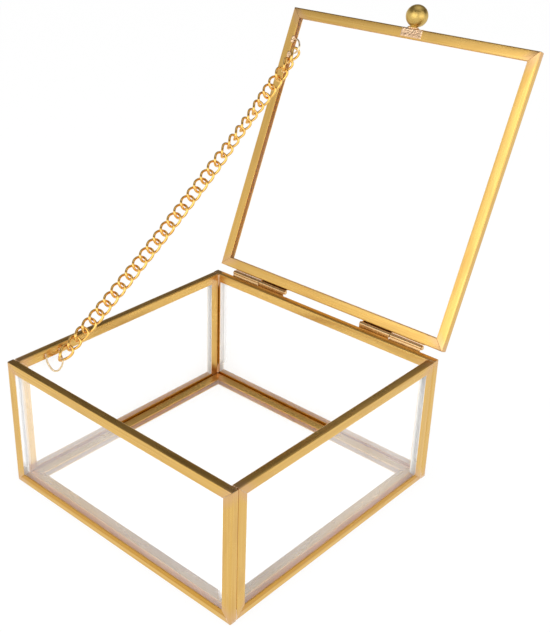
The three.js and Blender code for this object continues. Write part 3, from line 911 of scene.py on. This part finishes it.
def corner_beads():
    """Solder at the box's four corners. x and y run in from a corner's two outer faces."""
    seam = channel + CORNER_SEAM
    rim = rim_z - 0.12 * MM
    side = 0.25 * MM
    beads = (
        # Up the seam on the side, and from its foot to the corner.
        ((side, seam, 0.9 * MM), (side, seam, 7 * MM), 0.6 * MM, 0.2 * MM),
        ((side, seam, 0.9 * MM), (side, 0.8 * MM, 0.9 * MM), 0.6 * MM, 0.45 * MM),
        # Up the bottom mitre on the front or back.
        ((0.9 * MM, side, 1.0 * MM), (3.5 * MM, side, 4.3 * MM), 0.45 * MM, 0.25 * MM),
        # Inside, down from the rim and up from the floor.
        ((seam, seam, rim_z - 1.2 * MM), (seam, seam, rim_z - 8 * MM), 0.75 * MM, 0.3 * MM),
        ((seam, seam, channel + 0.5 * MM), (seam, seam, channel + 6 * MM), 0.8 * MM, 0.3 * MM),
        # Across the top of the seam.
        ((1.5 * MM, seam, rim), (4.0 * MM, seam, rim), 0.28 * MM, 0.22 * MM),
    )
    balls = []
    for x, toward in ((walls_low.x, 1), (walls_high.x, -1)):
        for y, inward in ((walls_low.y, 1), (walls_high.y, -1)):
            for *ends, start_radius, end_radius in beads:
                start, end = ((x + toward * dx, y + inward * dy, z) for dx, dy, z in ends)
                balls += bead(start, end, start_radius, end_radius)
    return balls


def knob_beads(seat):
    """A ring of solder round the knob's neck, and a run along the lid's edge to both sides of it."""
    turned = OPENED.to_3x3()
    side = Vector((1, 0, 0))
    lift = turned @ Vector((0, 0, 1))
    out = (turned @ Vector((0, -1, 0))).normalized()
    balls = []
    for step in range(KNOB_FILLET_BALLS):
        angle = 2 * math.pi * step / KNOB_FILLET_BALLS
        ring = (side * math.cos(angle) + lift * math.sin(angle) * KNOB_FILLET_FLATNESS) * KNOB_FILLET
        balls.append((seat + ring + out * 0.25 * MM, 0.75 * MM))
    return balls + bead(seat - side * 6 * MM, seat + side * 6 * MM, 0.35 * MM, 0.35 * MM)


def smear_beads():
    """Rows of balls that melt into a thin smear on the inner face of the lid's front rail, below the knob."""
    corner = Vector((KNOB_OFFSET - 5 * MM, walls_low.y + 0.5 * MM, lid_inner_z + 0.2 * MM))
    balls = []
    for row in range(SMEAR_ROWS):
        start = corner + Vector((0, row * SMEAR_ROW_STEP, 0))
        end = start + Vector((SMEAR_WIDTH, 0, 0))
        balls += [(OPENED @ point, size) for point, size in bead(start, end, SMEAR_BALL, SMEAR_BALL)]
    return balls


def make_solder(knob_seat):
    tree = solder_tree()

    def lump(name, balls, body, unevenness=SOLDER_UNEVENNESS):
        seed = point_mesh([point for point, size in balls], ball=[size for point, size in balls])
        piece = grown(name, seed, tree, {"Grain": SOLDER_GRAIN, "Unevenness": unevenness})
        finish_piece(piece, MATERIALS["solder"], body)

    lump("corner_solder", corner_beads(), "base")
    face = -half + channel + 0.2 * MM
    base_line, lid_line = base_eye_line(), lid_eye_line()
    lump("base_eye_solder", [ball for foot in (base_line[0], base_line[-1]) for ball in bead(
        (face, foot.y, foot.z - 0.4 * MM), (face, foot.y, foot.z + 1.0 * MM), 0.55 * MM, 0.7 * MM)], "base")
    along = (lid_line[-1] - lid_line[0]).normalized() * 1.2 * MM
    lump("lid_eye_solder", [ball for foot in (lid_line[0], lid_line[-1]) for ball in bead(
        foot - along, foot + along, 0.8 * MM, 0.8 * MM)], "lid")
    lump("knob_solder", knob_beads(knob_seat), "lid")
    lump("knob_solder_smear", smear_beads(), "lid", SMEAR_UNEVENNESS)


# ---- Floor, light and camera --------------------------------------------------------------------
def ray_is(tree, *kinds):
    """1 for any of these kinds of ray."""
    path = node(tree, "ShaderNodeLightPath")
    total = path.outputs[kinds[0]]
    for kind in kinds[1:]:
        total = maths(tree, "MAXIMUM", total, path.outputs[kind])
    return total


def make_floor():
    """A pale floor that takes the box's shadow. To the eye it is nearly white, and in metal plain white."""
    grid = bmesh.new()
    bmesh.ops.create_grid(grid, x_segments=1, y_segments=1, size=6)
    data = bpy.data.meshes.new("floor")
    grid.to_mesh(data)
    grid.free()
    floor = add_object("studio_floor", data)
    floor.location.z = -FLOOR_DROP
    material, tree, shader = shader_material("white_floor", Base_Color=(0.93, 0.93, 0.93, 1), Roughness=0.9)
    shader.inputs["Specular IOR Level"].default_value = 0.0
    glow = node(tree, "ShaderNodeEmission", None, Color=(1, 1, 1, 1), Strength=1.0)
    seen = maths(tree, "MULTIPLY", ray_is(tree, "Is Camera Ray", "Is Transmission Ray"), FLOOR_SHOWN)
    show(material, maths(tree, "MAXIMUM", seen, ray_is(tree, "Is Glossy Ray")), shader, glow)
    data.materials.append(material)


def make_world():
    """White all round to the eye. Metal and glass mirror a white horizon, dark ceiling and light overhead."""
    world = bpy.data.worlds.new("studio")
    bpy.context.scene.world = world
    world.use_nodes = True
    tree = world.node_tree
    direction = node(tree, "ShaderNodeTexCoord").outputs["Generated"]
    parts = node(tree, "ShaderNodeSeparateXYZ", None, Vector=direction)
    height = maths(tree, "MULTIPLY_ADD", parts.outputs["Y"], FRONT_LIFT, parts.outputs["Z"])
    ramp = node(tree, "ShaderNodeValToRGB", None, Fac=height)
    stops = ramp.color_ramp.elements
    stops[0].position, stops[0].color = 0.0, HORIZON
    stops[1].position, stops[1].color = 1.0, ZENITH
    for position, level, warmth in CEILING:
        stop = stops.new(position)
        stop.color = (level, level * warmth, level * warmth ** 2.5, 1)
    seen = mixed(tree, ray_is(tree, "Is Glossy Ray"), (1, 1, 1), ramp.outputs[0])
    tree.links.new(seen, tree.nodes["Background"].inputs["Color"])


def soft_light(name, place, aim, size, power):
    light = bpy.data.lights.new(name, "AREA")
    light.shape = "RECTANGLE"
    light.size, light.size_y = size
    light.energy = power
    lamp = add_object(name, light)
    lamp.location = place
    lamp.rotation_euler = (Vector(aim) - Vector(place)).to_track_quat("-Z", "Y").to_euler()


def make_camera():
    data = bpy.data.cameras.new("camera")
    data.lens = CAMERA_LENS
    data.sensor_width = CAMERA_SENSOR
    data.shift_x, data.shift_y = CAMERA_SHIFT
    data.clip_start = 0.01
    camera = add_object("camera", data)
    level = math.cos(CAMERA_ELEVATION)
    back = Vector((math.sin(CAMERA_AZIMUTH) * level, -math.cos(CAMERA_AZIMUTH) * level,
                   math.sin(CAMERA_ELEVATION)))
    camera.location = CAMERA_TARGET + back * CAMERA_DISTANCE
    camera.rotation_mode = "QUATERNION"
    camera.rotation_quaternion = (-back).to_track_quat("-Z", "Y") @ Quaternion((0, 0, 1), CAMERA_ROLL)
    bpy.context.scene.camera = camera


make_camera()
make_frames()
dress_panes()
make_hinges()
knob_seat = make_knob()
make_eyes()
make_chain()
make_solder(knob_seat)
make_floor()
make_world()
soft_light("key", (0.15, -0.95, 0.55), (0, 0, 0.1), (1.0, 1.0), 4.5)
soft_light("side", (0.95, 0.0, 0.5), (0, 0, 0.1), (1.0, 1.0), 3.5)
soft_light("strip", (-0.36, -0.82, 0.55), (0.06, 0.05, 0.15), (0.16, 0.7), 0.4)
bpy.context.scene.view_settings.view_transform = "Standard"
